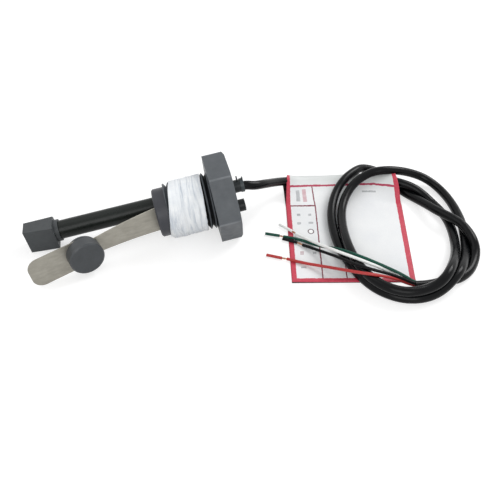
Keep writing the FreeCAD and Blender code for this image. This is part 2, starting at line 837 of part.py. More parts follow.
def tube(label, points, size):
    """A cable or wire along its route: straight runs joined by tangent arcs."""
    edges = []
    radii = []
    start = points[0]
    for before, corner, after in zip(points, points[1:], points[2:]):
        back = (before - corner).normalize()
        onward = (after - corner).normalize()
        reach = 0.45 * min((before - corner).Length, (after - corner).Length)
        half_turn = (math.pi - back.getAngle(onward)) / 2
        radius = reach / math.tan(half_turn)
        inward = (back + onward).normalize()
        crown = corner + inward * (radius / math.cos(half_turn) - radius)
        enter = corner + back * reach
        leave = corner + onward * reach
        edges.append(Part.LineSegment(start, enter).toShape())
        edges.append(Part.Arc(enter, crown, leave).toShape())
        radii.append(radius)
        start = leave
    edges.append(Part.LineSegment(start, points[-1]).toShape())
    route = Part.Wire(edges)
    section = Part.Circle(points[0], points[1] - points[0], size.value / 2).toShape()
    piece = doc.addObject("Part::Feature", label)
    piece.Label = label
    piece.Shape = route.makePipeShell([Part.Wire(section)], True, False)
    loose.append(piece)
    wanted = math.pi * (size.value / 2) ** 2 * route.Length
    tight = min(radii, default=0)
    print(f"{label}: {route.Length:.1f} mm, tightest radius {tight:.1f}, "
          f"volume {piece.Shape.Volume / wanted:.3f} of section times length")
    return piece


def rod(label, start, end, size):
    """A short straight round piece."""
    piece = doc.addObject("Part::Feature", label)
    piece.Label = label
    along = end - start
    piece.Shape = Part.makeCylinder(size.value / 2, along.Length, start, along)
    loose.append(piece)


def on_switch(x, y, z):
    """A point of the switch where it lies on the table."""
    turn = Rotation(Vector(0, -1, 0), lean.value)
    return turn.multVec(Vector(x, y, z)) + Vector(rest_x.value, rest_y.value, rest_height.value)


def in_tag(along, across, up):
    return TAG_POSE.multVec(Vector(along, across, up))


def make_lead():
    """Cable from its end inside the gland to the coil."""
    axis = stem_y.value
    inside = on_switch((gland_x - d["gland_seat"]).value, axis, 0)
    outside = on_switch(gland_end.value + 2.5, axis, 0)
    route = [inside, outside] + [Vector(*place) for place in LEAD_ROUTE]
    route.append(in_tag(lead_end.value, 0, fold_high.value))
    tube("cable_lead", route, d["cable_dia"])


def make_wires():
    """The four cores beyond the jacket, each with bare strands and a slug of insulation at its end."""
    for colour, route in WIRE_ROUTES.items():
        route = [Vector(*place) for place in route]
        slug_start, slug_end = (Vector(*place) for place in SLUGS[colour])
        tube(f"wire_{colour}", route, d["core_dia"])
        rod(f"strands_{colour}", route[-1], slug_start, d["bare_dia"])
        rod(f"slug_{colour}", slug_start, slug_end, d["core_dia"])


def make_tag():
    """Card tag folded round the cable, its two layers together on the table."""
    body = doc.addObject("PartDesign::Body", "cable_tag")
    body.Label = "cable_tag"
    flap = sketch_on(body, "flap", "XY_Plane")
    left = -d["tag_skew"]
    corners = [(0, 0), (left, -d["tag_deep"]), (left + d["tag_front"], -d["tag_deep"])]
    outline(flap, corners + [(d["tag_long"], 0)])
    pad(body, flap, d["tag_thick"])
    fold = sketch_on(body, "fold", "YZ_Plane", d["tag_open"])
    circle(fold, 0, fold_high, fold_r + d["tag_thick"])
    fold_len = d["tag_long"] - d["tag_open"] - d["tag_thick"] * 3
    pad(body, fold, fold_len)
    room = sketch_on(body, "room", "YZ_Plane", d["tag_open"])
    circle(room, 0, fold_high, fold_r)
    pocket(body, room, fold_len, back=True)
    body.Placement = TAG_POSE
    loose.append(body)


def ellipse_block(label, long, wide, middle):
    """An upright block with an oval outline."""
    ring = doc.addObject("Part::Ellipse", f"{label}_outline")
    ring.setExpression("MajorRadius", (long / 2).text)
    ring.setExpression("MinorRadius", (wide / 2).text)
    ring.Placement = Placement(middle, Rotation(Vector(0, 0, 1), d["coil_turn"].value))
    ring.setExpression("Placement.Base.z", d["coil_lift"].text)
    block = doc.addObject("Part::Extrusion", label)
    block.Base = ring
    block.DirMode = "Custom"
    block.Dir = Vector(0, 0, 1)
    block.Solid = True
    block.setExpression("LengthFwd", d["coil_high"].text)
    return block


def cutting_box(label, long, deep, high, pose):
    box = doc.addObject("Part::Box", label)
    box.Length, box.Width, box.Height = long, deep, high
    box.Placement = pose
    return box


def cut(label, base, tool):
    result = doc.addObject("Part::Cut", label)
    result.Base = base
    result.Tool = tool
    return result


def make_coil():
    """The coil as one closed solid of its outer shape, low in front and arched over the folded tag."""
    outer = ellipse_block("coil_outer", d["coil_long"], d["coil_wide"], COIL_MIDDLE)
    inner = ellipse_block("coil_inner", d["coil_gap_long"], d["coil_gap_wide"], COIL_GAP_MIDDLE)
    ring = cut("coil_ring", outer, inner)
    level = Placement(Vector(0, COIL_BEND_Y - 100, d["coil_low"].value), Rotation())
    low = cut("coil_front", ring, cutting_box("coil_level", 200, 100, 50, level))
    turn = Rotation(Vector(1, 0, 0), d["coil_slope"].value)
    slope = Placement(Vector(0, COIL_BEND_Y, d["coil_low"].value), turn)
    arched = cut("coil_arched", low, cutting_box("coil_ramp", 200, 100, 50, slope))
    back = fold_r.value + d["tag_thick"].value + 0.3
    top = fold_high.value + back
    room = TAG_POSE.multiply(Placement(Vector(lead_end.value - 60, -10, -1), Rotation()))
    tunnel = cutting_box("coil_tunnel", 60, 10 + back, 1 + top, room)
    coil = cut("cable_coil", arched, tunnel)
    coil.Label = "cable_coil"
    loose.append(coil)


def check_and_write(objects):
    doc.recompute()
    for item in doc.Objects:
        if "Invalid" in item.State or "Error" in item.State:
            raise RuntimeError(f"{item.Label} failed: {item.State}")
    os.makedirs("parts", exist_ok=True)
    for item in objects:
        if item.Shape.isNull() or not item.Shape.isValid():
            raise RuntimeError(f"{item.Label} has no valid shape")
    for item in objects:
        item.Shape.exportStep(f"parts/{item.Label}.step")
        print(f"{item.Label}: {len(item.Shape.Solids)} solids, {item.Shape.Volume:.1f} mm3")


make_switch()
lay_switch()
print(f"lean {lean.value:.3f}, rest at {rest_x.value:.3f} {rest_y.value:.3f} {rest_height.value:.3f}")
make_lead()
make_wires()
make_tag()
make_coil()
check_and_write([body for body, _ in pieces] + loose)
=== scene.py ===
import math

import bmesh
import bpy
import numpy as np
from mathutils import Matrix, Vector


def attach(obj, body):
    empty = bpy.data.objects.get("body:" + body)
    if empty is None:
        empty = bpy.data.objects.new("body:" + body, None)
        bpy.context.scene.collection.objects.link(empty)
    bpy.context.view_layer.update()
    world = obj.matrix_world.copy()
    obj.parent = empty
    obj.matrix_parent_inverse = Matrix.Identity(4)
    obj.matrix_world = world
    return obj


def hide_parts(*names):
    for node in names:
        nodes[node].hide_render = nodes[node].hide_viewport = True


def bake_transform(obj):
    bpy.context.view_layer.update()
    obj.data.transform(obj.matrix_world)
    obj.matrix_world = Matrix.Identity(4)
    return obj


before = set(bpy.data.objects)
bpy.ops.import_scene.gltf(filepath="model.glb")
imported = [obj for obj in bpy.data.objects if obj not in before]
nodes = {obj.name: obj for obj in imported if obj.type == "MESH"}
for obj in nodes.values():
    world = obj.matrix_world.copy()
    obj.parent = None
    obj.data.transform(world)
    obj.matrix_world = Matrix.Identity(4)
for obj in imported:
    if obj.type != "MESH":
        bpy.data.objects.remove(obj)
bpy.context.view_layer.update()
scene = bpy.context.scene
rng = np.random.default_rng(7)

# The switch's own frame: X along the plug to the cable, Y away from the paddle, Z up
MM = 0.001
TURN = 2 * math.pi
LEAN = math.radians(7.8238)
LIE = Matrix.Translation((0.028027, 0.001, 0.014167)) @ Matrix.Rotation(-LEAN, 4, "Y")
LIE_INV = LIE.inverted()


def on_switch(x, y, z):
    """The place of a point that is given in the switch's own frame, in millimetres."""
    return LIE @ Vector((x * MM, y * MM, z * MM))


def metres(points):
    return [Vector(p) * MM for p in points]


def clamp(value, low=0.0, high=1.0):
    return min(max(value, low), high)


def eased(t):
    """A smooth step from zero to one."""
    return t * t * (3 - 2 * t)


def linear(code):
    """Linear colour of a hex code."""
    parts = [int(code[i:i + 2], 16) / 255 for i in (1, 3, 5)]
    return [c / 12.92 if c <= 0.04045 else ((c + 0.055) / 1.055) ** 2.4 for c in parts]


def scaled(colour, factor):
    return [c * factor for c in colour]


def piece(name, verts, faces, material, smooth=True):
    """A mesh object that still needs a body to ride on."""
    mesh = bpy.data.meshes.new(name)
    mesh.from_pydata([tuple(v) for v in verts], [], [tuple(f) for f in faces])
    mesh.validate()
    mesh.update()
    if smooth:
        mesh.shade_smooth()
    obj = bpy.data.objects.new(name, mesh)
    scene.collection.objects.link(obj)
    mesh.materials.append(material)
    return obj


def grid_faces(rows, cols, wrap=False):
    faces = []
    for i in range(rows - 1):
        for j in range(cols if wrap else cols - 1):
            k = (j + 1) % cols
            faces.append((i * cols + j, i * cols + k, (i + 1) * cols + k, (i + 1) * cols + j))
    return faces


def clean_mesh(obj, weld=None):
    """Outward normals, and welded points where a distance is given."""
    bm = bmesh.new()
    bm.from_mesh(obj.data)
    if weld:
        bmesh.ops.remove_doubles(bm, verts=bm.verts, dist=weld)
        bmesh.ops.dissolve_degenerate(bm, edges=bm.edges, dist=weld / 2)
    bmesh.ops.recalc_face_normals(bm, faces=bm.faces)
    bm.to_mesh(obj.data)
    bm.free()


def bevel(obj, width_mm, segments=2, angle=30):
    mod = obj.modifiers.new("edge", "BEVEL")
    mod.width = width_mm * MM
    mod.segments = segments
    mod.limit_method = "ANGLE"
    mod.angle_limit = math.radians(angle)


def solidify(obj, thick_mm, offset):
    mod = obj.modifiers.new("thickness", "SOLIDIFY")
    mod.thickness = thick_mm * MM
    mod.offset = offset


class Shader:
    """A principled material with short helpers for its procedural detail."""

    MIX_COLOURS = (6, 7)
    MIX_RESULT = 2

    def __init__(self, name):
        self.mat = bpy.data.materials.new(name)
        self.mat.use_nodes = True
        self.tree = self.mat.node_tree
        self.bsdf = self.tree.nodes["Principled BSDF"]
        self.coords = self.node("ShaderNodeTexCoord").outputs["Object"]

    def node(self, kind, **values):
        n = self.tree.nodes.new(kind)
        for key, value in values.items():
            setattr(n, key, value)
        return n

    def link(self, a, b):
        self.tree.links.new(a, b)

    def noise(self, scale, detail=4.0, rough=0.55, stretch=None, distortion=0.0, source=None):
        n = self.node("ShaderNodeTexNoise")
        numbers = {"Scale": scale, "Detail": detail, "Roughness": rough, "Distortion": distortion}
        for key, number in numbers.items():
            n.inputs[key].default_value = number
        source = source or self.coords
        if stretch:
            m = self.node("ShaderNodeMapping")
            m.inputs["Scale"].default_value = stretch
            self.link(source, m.inputs["Vector"])
            source = m.outputs["Vector"]
        self.link(source, n.inputs["Vector"])
        return n.outputs["Fac"]

    def spread(self, value, low, high, start=0.3, end=0.7):
        """A value from start to end, stretched to low to high and held there outside."""
        n = self.node("ShaderNodeMapRange")
        numbers = {"From Min": start, "From Max": end, "To Min": low, "To Max": high}
        for key, number in numbers.items():
            n.inputs[key].default_value = number
        self.link(value, n.inputs["Value"])
        return n.outputs["Result"]

    def mix(self, factor, a, b):
        n = self.node("ShaderNodeMix", data_type="RGBA")
        self.link(factor, n.inputs["Factor"])
        for place, colour in zip(self.MIX_COLOURS, (a, b)):
            if isinstance(colour, list):
                n.inputs[place].default_value = (*colour, 1)
            else:
                self.link(colour, n.inputs[place])
        return n.outputs[self.MIX_RESULT]

    def math(self, operation, a, b=0.0):
        n = self.node("ShaderNodeMath", operation=operation)
        for i, value in enumerate((a, b)):
            if isinstance(value, (int, float)):
                n.inputs[i].default_value = value
            else:
                self.link(value, n.inputs[i])
        return n.outputs[0]

    def band(self, value, low, high):
        above = self.math("GREATER_THAN", value, low)
        return self.math("MULTIPLY", above, self.math("LESS_THAN", value, high))

    def length(self, a, b):
        squares = self.math("ADD", self.math("MULTIPLY", a, a), self.math("MULTIPLY", b, b))
        return self.math("SQRT", squares)

    def bump(self, height, strength, distance_mm, after=None):
        n = self.node("ShaderNodeBump")
        n.inputs["Strength"].default_value = strength
        n.inputs["Distance"].default_value = distance_mm * MM
        self.link(height, n.inputs["Height"])
        if after is not None:
            self.link(after, n.inputs["Normal"])
        return n.outputs["Normal"]

    def attribute(self, name):
        return self.node("ShaderNodeAttribute", attribute_name=name).outputs["Fac"]

    def feed(self, key, value):
        self.link(value, self.bsdf.inputs[key])

    def set(self, key, value):
        self.bsdf.inputs[key].default_value = value


# Noise scales are per metre, so 1000 gives spots of about a millimetre
CLOUD, GLOSS_CLOUD, GRAIN, GRAIN_MM = 220, 420, 900, 0.02
PALE_GRAIN = 1.35
PLUG_ROUGH, PLUG_MOTTLE = 0.42, 0.1
# Distances from the plug's axis, in millimetres, where the painted highlight on the hexagon's corners
# starts and is full
HIGHLIGHT_FROM, HIGHLIGHT_FULL = 16.25, 16.38


def plastic_shader(name, code, rough, mottle, grain=GRAIN, grain_mm=GRAIN_MM, streak=None):
    """Cloudy colour, fine grain and slightly uneven gloss, with the colour still to be fed."""
    s = Shader(name)
    base = linear(code)
    cloud = s.noise(CLOUD, 5, 0.6, stretch=streak)
    colour = s.mix(s.spread(cloud, 0, 1), scaled(base, 1 - mottle), scaled(base, 1 + mottle))
    fine = s.noise(grain, 3, 0.6)
    colour = s.mix(s.spread(fine, 0, 0.22), colour, scaled(base, PALE_GRAIN))
    s.feed("Roughness", s.spread(s.noise(GLOSS_CLOUD, 4, 0.6), rough - 0.07, rough + 0.09))
    s.feed("Normal", s.bump(fine, 0.35, grain_mm))
    return s, colour


def moulded(name, code, rough=0.45, mottle=0.16, grain=GRAIN, grain_mm=GRAIN_MM, streak=None, gloss=0.35):
    """Moulded or extruded plastic."""
    s, colour = plastic_shader(name, code, rough, mottle, grain, grain_mm, streak)
    s.feed("Base Color", colour)
    s.set("Specular IOR Level", gloss)
    return s.mat


def hexagon(name, code, highlight_code):
    """The plug's plastic, with a painted highlight along the corners of its hexagon."""
    s, colour = plastic_shader(name, code, PLUG_ROUGH, PLUG_MOTTLE)
    own = s.node("ShaderNodeMapping", vector_type="TEXTURE")
    own.inputs["Location"].default_value = LIE.translation
    own.inputs["Rotation"].default_value = (0, -LEAN, 0)
    own.inputs["Scale"].default_value = (MM, MM, MM)
    s.link(s.coords, own.inputs["Vector"])
    split = s.node("ShaderNodeSeparateXYZ")
    s.link(own.outputs["Vector"], split.inputs[0])
    corner = s.spread(s.length(split.outputs["Y"], split.outputs["Z"]), 0, 1, HIGHLIGHT_FROM, HIGHLIGHT_FULL)
    # Painted highlight: a paler band along the hexagon's corners, broken up by noise
    corner_highlight = s.math("MULTIPLY", corner, s.spread(s.noise(160, 3, 0.6), 0.35, 1))
    s.feed("Base Color", s.mix(corner_highlight, colour, linear(highlight_code)))
    s.set("Specular IOR Level", 0.28)
    return s.mat


def threaded(name, code, groove_shade_code):
    """The plug's plastic with painted shade in the grooves of its thread."""
    s, colour = plastic_shader(name, code, PLUG_ROUGH, PLUG_MOTTLE)
    # Painted shade: the grooves darken by their depth share, with noise along their edges
    shade_noise = s.spread(s.noise(500, 3, 0.6), -0.12, 0.12)
    groove_shade = s.math("ADD", s.attribute("groove"), shade_noise)
    s.feed("Base Color", s.mix(s.spread(groove_shade, 0, 1, 0.1, 0.4), colour, linear(groove_shade_code)))
    s.set("Specular IOR Level", 0.2)
    return s.mat


def rolled_metal(name, code, rough, along=(60, 900, 900)):
    """Sheet or wire with drawn lines, faint spots and smears."""
    mottle, smear = 0.12, 0.82
    s = Shader(name)
    base = linear(code)
    lines = s.noise(1.0, 5, 0.6, stretch=along)
    cloud = s.noise(160, 4, 0.6)
    colour = s.mix(s.spread(lines, 0, 1), scaled(base, 1 - mottle), scaled(base, 1 + mottle))
    s.feed("Base Color", s.mix(s.spread(cloud, 0, 0.4), colour, scaled(base, smear)))
    s.feed("Roughness", s.spread(cloud, rough - 0.06, rough + 0.1))
    s.feed("Normal", s.bump(lines, 0.25, 0.01))
    s.set("Metallic", 1.0)
    return s.mat


def tape_film():
    """Thin white tape, with painted grey-blue shade in the troughs over the thread, beside its creases, at
    the rims of its wraps and in slanted streaks.
    """
    s = Shader("white_tape")
    wide = s.noise(300, 5, 0.62, distortion=0.4)
    thin = s.noise(1600, 3, 0.6)
    wrap = s.node("ShaderNodeUVMap", uv_map="wrap").outputs["UV"]
    streaks = s.noise(1.0, 4, 0.6, stretch=(0.9, 0.8, 1), distortion=0.6, source=wrap)
    film = s.mix(s.spread(wide, 0, 1), linear("#e6eaee"), linear("#f4f6f7"))
    # Painted shade: grey-blue streaks slanting along the wraps
    film = s.mix(s.spread(streaks, 0.85, 0.0, 0.3, 0.5), film, linear("#b7c0cb"))
    # Painted shade where the fold attribute is high
    shaded = s.spread(s.attribute("fold"), 0, 0.7, 0.0, 1.0)
    s.feed("Base Color", s.mix(shaded, film, linear("#b4bdc9")))
    s.feed("Roughness", s.spread(thin, 0.4, 0.62))
    s.feed("Normal", s.bump(thin, 0.35, 0.03, s.bump(streaks, 0.7, 0.25)))
    s.set("Specular IOR Level", 0.3)
    return s.mat


# Card: size, borders and ring radii in millimetres, and the places of its plain print in shares of its size
CARD_WIDE, CARD_DEEP = 45.0, 59.0
BORDER_LEFT, BORDER_RIGHT, BORDER_FOOT = 1.3, 2.0, 2.05
SLOPE = 0.235
# Top and foot of the upper rule, and left, right and top of the two upright ones
RULE_TOP = (0.085, 0.099)
RULE_COLUMN = (0.237, 0.248, 0.1)
RULE_SHORT = (0.436, 0.445, 0.85)
RULE_ROW_END, RULE_ROW_HALF = 0.24, 0.007
RING_U, RING_V, RING_SQUASH = 0.183, 0.517, 0.78
RING_INNER, RING_OUTER = 0.85, 1.25
# The place of the dark underside on the UV map, and where it starts
UNDER_V, UNDER_LIMIT = -1.0, -0.3
# Left, right, top, foot and colour of each plain mark
MARKS = (
    (0.085, 0.120, 0.120, 0.195, "#a9abae"), (0.145, 0.180, 0.115, 0.200, "#c79aa2"),
    (0.075, 0.105, 0.325, 0.350, "#9fa1a4"), (0.172, 0.200, 0.325, 0.350, "#a9abae"),
    (0.072, 0.105, 0.418, 0.442, "#a5a7aa"), (0.170, 0.210, 0.415, 0.437, "#9fa1a4"),
    (0.075, 0.105, 0.715, 0.750, "#b9a0a5"), (0.180, 0.210, 0.720, 0.745, "#a5a7aa"),
    (0.070, 0.115, 0.858, 0.874, "#a9abae"), (0.680, 0.800, 0.133, 0.143, "#a2a4a6"),
)


def printed_card():
    """White card with painted shade along its fold, a coral border, thin rules, plain marks and a ring."""
    s = Shader("tag_card")
    split = s.node("ShaderNodeSeparateXYZ")
    s.link(s.node("ShaderNodeUVMap", uv_map="card").outputs["UV"], split.inputs[0])
    wobble = s.spread(s.noise(900, 2, 0.5), -0.0016, 0.0016)
    u = s.math("ADD", split.outputs["X"], wobble)
    v = s.math("ADD", split.outputs["Y"], wobble)

    def area(left, right, top, foot):
        return s.math("MULTIPLY", s.band(u, left, right), s.band(v, top, foot))

    fibre = s.noise(2500, 2, 0.6)
    paper = s.mix(s.spread(s.noise(70, 4, 0.6), 0, 1), linear("#e4e6e8"), linear("#eeefef"))
    colour = s.mix(s.spread(fibre, 0, 0.25), paper, linear("#d2d5d8"))
    # Painted shade: the paper greys at the fold and the top of its slope
    colour = s.mix(s.spread(v, 0.9, 0.0, 0.05, 0.14), colour, linear("#d0d3d2"))
    for left, right, top, foot, code in MARKS:
        faded = s.spread(s.noise(700, 2, 0.6), 0.6, 0.95)
        colour = s.mix(s.math("MULTIPLY", area(left, right, top, foot), faded), colour, linear(code))

    left, right, foot = BORDER_LEFT / CARD_WIDE, 1 - BORDER_RIGHT / CARD_WIDE, 1 - BORDER_FOOT / CARD_DEEP
    colour = s.mix(area(left, right, *RULE_TOP), colour, linear("#ab3f57"))
    row = area(left, RULE_ROW_END, SLOPE - RULE_ROW_HALF, SLOPE + RULE_ROW_HALF)
    rules = s.math("MAXIMUM", area(*RULE_COLUMN, foot), row)
    rules = s.math("MAXIMUM", rules, area(*RULE_SHORT, foot))
    colour = s.mix(rules, colour, linear("#7c3947"))
    dx = s.math("MULTIPLY", s.math("SUBTRACT", u, RING_U), CARD_WIDE)
    dy = s.math("MULTIPLY", s.math("SUBTRACT", v, RING_V), CARD_DEEP * RING_SQUASH)
    far = s.length(dx, dy)
    colour = s.mix(s.math("LESS_THAN", far, RING_INNER), colour, linear("#f6f6f6"))
    colour = s.mix(s.band(far, RING_INNER, RING_OUTER), colour, linear("#6a5c60"))
    border = s.math("MAXIMUM", s.math("LESS_THAN", u, left), s.math("GREATER_THAN", u, right))
    border = s.math("MAXIMUM", border, s.math("GREATER_THAN", v, foot))
    ink = s.mix(s.spread(s.noise(1100, 3, 0.6), 0, 1), linear("#bb3a4d"), linear("#c84a5b"))
    colour = s.mix(border, colour, ink)
    colour = s.mix(s.math("LESS_THAN", v, UNDER_LIMIT), colour, linear("#2b1c1e"))
    s.feed("Base Color", colour)
    s.feed("Roughness", s.spread(fibre, 0.38, 0.52))
    s.feed("Normal", s.bump(fibre, 0.2, 0.015, s.bump(s.noise(60, 3, 0.5), 0.5, 0.25)))
    s.set("Specular IOR Level", 0.3)
    return s.mat


# The second colour is the painted highlight on the hexagon's corners
grey_pvc = hexagon("grey_pvc", "#515559", "#7c8084")
nose_pvc = moulded("nose_pvc", "#3d3e43", PLUG_ROUGH, PLUG_MOTTLE, gloss=0.25)
# The second colour is the painted shade in the thread's grooves
thread_pvc = threaded("thread_pvc", "#515559", "#0d0f12")
dark_pvc = moulded("dark_pvc", "#1a1e1c", rough=0.3, mottle=0.14, streak=(0.25, 1, 1), gloss=0.2)
block_pvc = moulded("block_pvc", "#424547", rough=0.45, mottle=0.12, gloss=0.25)
capsule_plastic = moulded("capsule_plastic", "#3e4144", rough=0.4, mottle=0.12)
black_nylon = moulded("black_nylon", "#24292b", rough=0.4, mottle=0.25, gloss=0.28)
cap_nylon = moulded("cap_nylon", "#3f4649", rough=0.36, mottle=0.35, gloss=0.3)
washer_rubber = moulded("washer_rubber", "#111213", rough=0.7, mottle=0.2)
black_screw = moulded("black_screw", "#0f1415", rough=0.3, mottle=0.4, gloss=0.22)
potting = moulded("potting", "#0e0e10", rough=0.3)
cable_jacket = moulded("cable_jacket", "#08090b", rough=0.21, mottle=0.22, grain=1500, grain_mm=0.012,
                       gloss=0.14)
board_mat = moulded("board", "#1d5a33", rough=0.35)
reed_glass = moulded("reed_glass", "#b8cfc4", rough=0.12)
ferrite = moulded("ferrite", "#2b2b2d", rough=0.6)
stainless = rolled_metal("stainless", "#9b988f", rough=0.5)
tinned = rolled_metal("tinned_metal", "#bdbdb8", rough=0.3)
copper = rolled_metal("copper", "#b98a6c", rough=0.32, along=(900, 900, 120))
core_mats = {
    "red": moulded("red_core", "#a9302f", rough=0.34, mottle=0.1),
    "black": moulded("black_core", "#0d0d0f", rough=0.32, mottle=0.2, gloss=0.12),
    "white": moulded("white_core", "#eceeec", rough=0.35, mottle=0.03),
    "green": moulded("green_core", "#0c4437", rough=0.34, mottle=0.12, gloss=0.2),
}
white_tape = tape_film()

NODE_MATERIALS = {
    "stem_tube": dark_pvc, "stop_block": block_pvc, "gland_body": black_nylon, "gland_cap": cap_nylon,
    "screw_washer": washer_rubber, "filler_screw": black_screw, "paddle": stainless,
    "magnet_cup": capsule_plastic, "capsule_back": capsule_plastic, "capsule_pins": capsule_plastic,
    "magnet": ferrite, "reed_board": board_mat, "reed_switch": reed_glass, "reed_leads": tinned,
    "inner_cores": core_mats["black"], "potting_seal": potting,
}
for colour, material in core_mats.items():
    NODE_MATERIALS[f"slug_{colour}"] = material
for name, material in NODE_MATERIALS.items():
    nodes[name].data.materials.clear()
    nodes[name].data.materials.append(material)

# Camera at the photograph's angle, with a focal length of 600 pixels in a frame of 500
CAMERA_PLACE = (0.00163, -0.17914, 0.14719)
camera_right = Vector((0.9751, -0.2219, 0.0)).normalized()
camera_look = Vector((0.1674, 0.7356, -0.6564)).normalized()
camera_up = camera_right.cross(camera_look).normalized()
cam = bpy.data.objects.new("camera", bpy.data.cameras.new("camera"))
scene.collection.objects.link(cam)
camera_turn = Matrix((camera_right, camera_up, -camera_look)).transposed().to_4x4()
cam.matrix_world = Matrix.Translation(CAMERA_PLACE) @ camera_turn
cam.data.lens = 43.2
cam.data.sensor_width = 36
cam.data.clip_start = 0.005
scene.camera = cam

# Cable: one open spline from the gland through the card and round the coil, in millimetres
CABLE_D = 3.5
CORE_D = 1.1
CABLE_AXIS = 4.55
GLAND_INSIDE, GLAND_OUTSIDE, CABLE_EXIT = 4.2, 13.0, 13.2
GLAND = [on_switch(x, CABLE_AXIS, 0) for x in (GLAND_INSIDE, GLAND_OUTSIDE)]
CABLE = [
    # down to the table and along the fold of the card
    (45.2, 5.6, 14.8), (48.9, 7.7, 13.4), (53.3, 11.8, 10.6), (58.1, 15.9, 7.7), (63.4, 19.0, 5.2),
    (70.0, 20.9, 3.2), (79.0, 20.1, 2.4), (91.0, 18.2, 2.6), (97.2, 16.2, 3.5), (102.0, 11.9, 5.3),
    (106.9, 7.7, 5.6), (111.6, 4.3, 4.9), (115.2, 0.7, 3.0),
    # inner turn: right side, on the outer turn at the front and left, over the fold of the card
    (117.1, -3.9, 1.75), (118.1, -9.9, 1.75), (118.2, -15.6, 1.75), (116.7, -23.0, 1.75),
    (113.8, -30.8, 1.9), (108.8, -39.1, 4.8), (102.1, -47.8, 8.2), (97.7, -51.6, 7.3),
    (93.4, -52.7, 5.6), (87.8, -53.2, 5.3), (82.5, -52.1, 5.25), (77.4, -48.0, 5.3),
    (74.0, -41.8, 5.55), (72.7, -34.2, 5.65), (73.2, -24.7, 5.1), (75.9, -11.7, 3.2),
    (79.3, -1.4, 2.7), (83.3, 5.3, 4.4), (89.1, 10.5, 6.6), (96.4, 13.2, 8.4),
    (102.5, 12.5, 9.1), (108.5, 12.4, 8.0), (114.6, 12.7, 5.8), (120.2, 11.4, 3.6), (123.7, 6.9, 2.2),
    # outer turn: right side, under then over the last reach, front, left side, over and behind the card
    (125.0, 0.1, 1.75), (124.8, -6.6, 1.75), (123.9, -13.0, 1.75), (122.5, -19.3, 1.75),
    (120.1, -25.6, 1.75), (116.9, -32.8, 1.85), (112.5, -39.7, 3.2), (107.0, -46.6, 5.5),
    (103.2, -49.5, 5.0), (98.8, -51.6, 2.8), (93.5, -53.3, 2.0), (87.5, -53.2, 1.75),
    (81.8, -51.0, 1.75), (76.6, -45.9, 1.75), (73.4, -39.2, 1.95), (71.7, -30.6, 2.05),
    (71.3, -20.3, 2.05), (72.7, -9.7, 2.1), (75.3, -0.5, 2.6), (80.0, 8.3, 4.4),
    (85.6, 13.7, 6.6), (91.4, 17.6, 7.0), (95.5, 20.4, 6.1), (100.7, 20.9, 4.3),
    (105.2, 18.3, 2.7), (107.7, 13.5, 1.9), (108.3, 7.2, 1.75),
    # last reach: under the card's end, over the other turns on the right, then under them to its cut end
    (110.5, 2.4, 1.8), (112.8, -6.0, 3.6), (114.2, -13.6, 5.2), (116.8, -18.2, 5.5),
    (119.1, -22.8, 5.5), (119.6, -27.7, 5.4), (119.3, -32.4, 5.0), (118.9, -36.2, 2.9),
    (116.2, -40.4, 1.75), (111.9, -44.8, 1.75), (106.9, -47.2, 1.75), (103.8, -47.3, 1.75),
    (100.6, -47.3, 1.75), (96.8, -47.8, 1.75), (93.2, -47.7, 1.75), (89.9, -47.3, 1.95),
]
WIRES = {
    "red": [
        (91.7, -47.8, 1.9), (89.1, -46.8, 2.0), (85.5, -45.6, 3.6), (80.7, -45.2, 6.0), (75.8, -44.9, 7.9),
        (70.9, -42.7, 7.9), (67.4, -38.9, 6.3), (64.5, -34.5, 4.0), (60.9, -30.1, 1.9), (56.0, -26.5, 1.0),
        (51.0, -23.0, 0.9)],
    "black": [
        (91.7, -47.9, 2.5), (89.3, -47.1, 3.1), (85.3, -45.2, 4.8), (80.5, -43.8, 6.6), (75.7, -42.4, 8.0),
        (71.1, -38.8, 8.0), (68.1, -33.7, 6.8), (65.7, -27.5, 4.2), (62.3, -20.9, 1.7), (58.8, -16.8, 1.0)],
    "white": [
        (92.0, -47.1, 1.9), (89.8, -45.6, 1.9), (85.9, -43.2, 3.4), (81.4, -41.3, 5.6), (76.7, -39.1, 7.4),
        (72.2, -35.5, 8.0), (68.4, -30.8, 7.2), (65.6, -24.6, 5.0), (63.1, -19.2, 3.1), (60.8, -14.4, 1.8),
        (58.1, -10.1, 1.2)],
    "green": [
        (91.8, -47.2, 2.5), (89.6, -46.2, 3.1), (86.9, -44.3, 4.6), (83.2, -41.8, 6.0), (77.9, -38.4, 7.6),
        (73.0, -33.9, 8.0), (69.1, -27.8, 6.2), (66.6, -22.7, 3.2), (63.8, -18.8, 1.4), (61.1, -15.5, 0.9),
        (57.6, -12.8, 0.95), (53.1, -10.3, 0.8)],
}


def spline_curve(name, points):
    """A curve of one open spline, and its length."""
    data = bpy.data.curves.new(name, "CURVE")
    data.dimensions = "3D"
    spline = data.splines.new("NURBS")
    spline.points.add(len(points) - 1)
    for point, place in zip(spline.points, points):
        point.co = (*place, 1)
    spline.order_u = 3
    spline.use_endpoint_u = True
    spline.resolution_u = 8
    obj = bpy.data.objects.new(name, data)
    scene.collection.objects.link(obj)
    mesh = bpy.data.meshes.new_from_object(obj)
    run = [v.co.copy() for v in mesh.vertices]
    bpy.data.meshes.remove(mesh)
    return obj, sum((b - a).length for a, b in zip(run, run[1:]))


def cord_look(obj, diameter_mm, material):
    obj.data.bevel_depth = diameter_mm * MM / 2
    obj.data.bevel_resolution = 5
    obj.data.use_fill_caps = True
    obj.data.materials.append(material)
    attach(obj, "switch")


cable, cable_length = spline_curve("cable", GLAND + metres(CABLE))
cord_look(cable, CABLE_D, cable_jacket)
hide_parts("cable_lead", "cable_coil")

for colour, route in WIRES.items():
    wire, wire_length = spline_curve(f"core_{colour}", metres(route))
    cord_look(wire, CORE_D, core_mats[colour])
    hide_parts(f"wire_{colour}")

